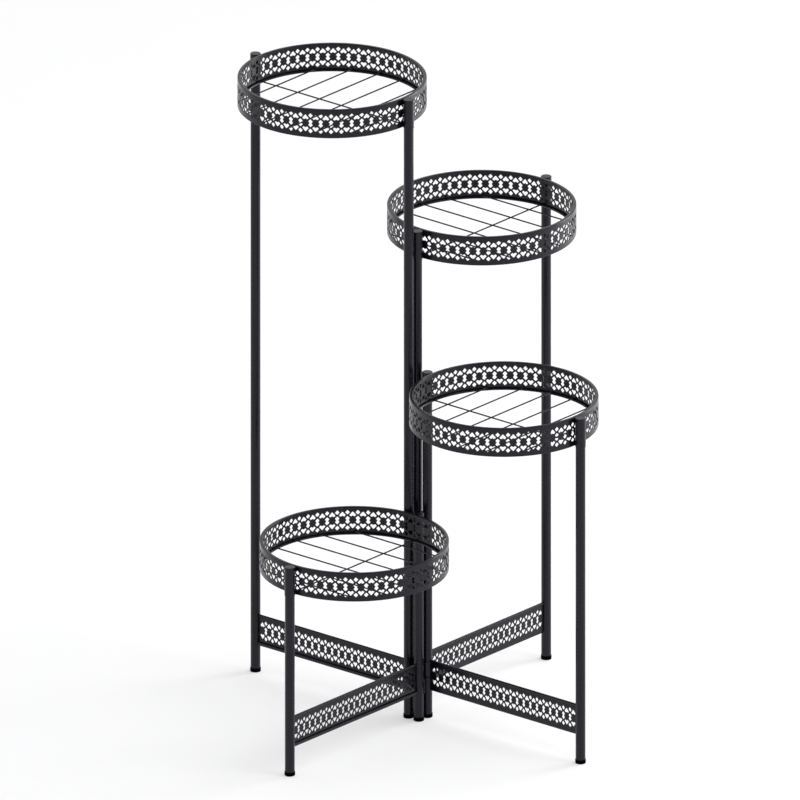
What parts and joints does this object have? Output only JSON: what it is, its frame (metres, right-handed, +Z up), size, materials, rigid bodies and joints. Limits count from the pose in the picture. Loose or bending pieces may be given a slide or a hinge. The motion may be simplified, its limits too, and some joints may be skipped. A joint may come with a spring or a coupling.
{
  "type": "tiered plant stand",
  "caption": "Folding tiered plant stand: round lattice trays at stepped heights on slim tube posts, hinged round the centre.",
  "frame": {"origin": "on the floor, midway between the four inner posts", "axes": "+Z up; the tallest section runs to -X, then clockwise seen from above +Y, +X and the lowest to -Y"},
  "size_m": [0.5132, 0.5132, 0.8],
  "materials": {
    "powder_coat": "satin",
    "foot_plastic": "matte"
  },
  "bodies": {
    "section_1": {"section_1_inner_post": "powder_coat", "section_1_inner_sleeve": "powder_coat", "section_1_inner_cap": "powder_coat", "section_1_inner_foot": "foot_plastic", "section_1_outer_post": "powder_coat", "section_1_outer_sleeve": "powder_coat", "section_1_outer_cap": "powder_coat", "section_1_outer_foot": "foot_plastic", "section_1_lattice_panel": "powder_coat", "section_1_tray_band": "powder_coat", "section_1_tray_ring": "powder_coat", "section_1_tray_grid": "powder_coat", "hinge_1_lower_collar": "powder_coat", "hinge_1_upper_collar": "powder_coat"},
    "section_2": {"section_2_inner_post": "powder_coat", "section_2_inner_sleeve": "powder_coat", "section_2_inner_cap": "powder_coat", "section_2_inner_foot": "foot_plastic", "section_2_outer_post": "powder_coat", "section_2_outer_sleeve": "powder_coat", "section_2_outer_cap": "powder_coat", "section_2_outer_foot": "foot_plastic", "section_2_lattice_panel": "powder_coat", "section_2_tray_band": "powder_coat", "section_2_tray_ring": "powder_coat", "section_2_tray_grid": "powder_coat", "hinge_2_lower_collar": "powder_coat", "hinge_2_upper_collar": "powder_coat"},
    "section_3": {"section_3_inner_post": "powder_coat", "section_3_inner_sleeve": "powder_coat", "section_3_inner_cap": "powder_coat", "section_3_inner_foot": "foot_plastic", "section_3_outer_post": "powder_coat", "section_3_outer_sleeve": "powder_coat", "section_3_outer_cap": "powder_coat", "section_3_outer_foot": "foot_plastic", "section_3_lattice_panel": "powder_coat", "section_3_tray_band": "powder_coat", "section_3_tray_ring": "powder_coat", "section_3_tray_grid": "powder_coat", "hinge_3_lower_collar": "powder_coat", "hinge_3_upper_collar": "powder_coat"},
    "section_4": {"section_4_inner_post": "powder_coat", "section_4_inner_sleeve": "powder_coat", "section_4_inner_cap": "powder_coat", "section_4_inner_foot": "foot_plastic", "section_4_outer_post": "powder_coat", "section_4_outer_sleeve": "powder_coat", "section_4_outer_cap": "powder_coat", "section_4_outer_foot": "foot_plastic", "section_4_lattice_panel": "powder_coat", "section_4_tray_band": "powder_coat", "section_4_tray_ring": "powder_coat", "section_4_tray_grid": "powder_coat"}
  },
  "joints": [
    {"name": "section_2_fold", "type": "hinge", "parent": "section_1", "child": "section_2", "pos_m": [-0.008, 0.008, 0.042], "axis": [0, 0, 1], "range_deg": [0, 90]},
    {"name": "section_3_fold", "type": "hinge", "parent": "section_2", "child": "section_3", "pos_m": [0.008, 0.008, 0.042], "axis": [0, 0, 1], "range_deg": [0, 90]},
    {"name": "section_4_fold", "type": "hinge", "parent": "section_3", "child": "section_4", "pos_m": [0.008, -0.008, 0.042], "axis": [0, 0, 1], "range_deg": [0, 90]}
  ]
}
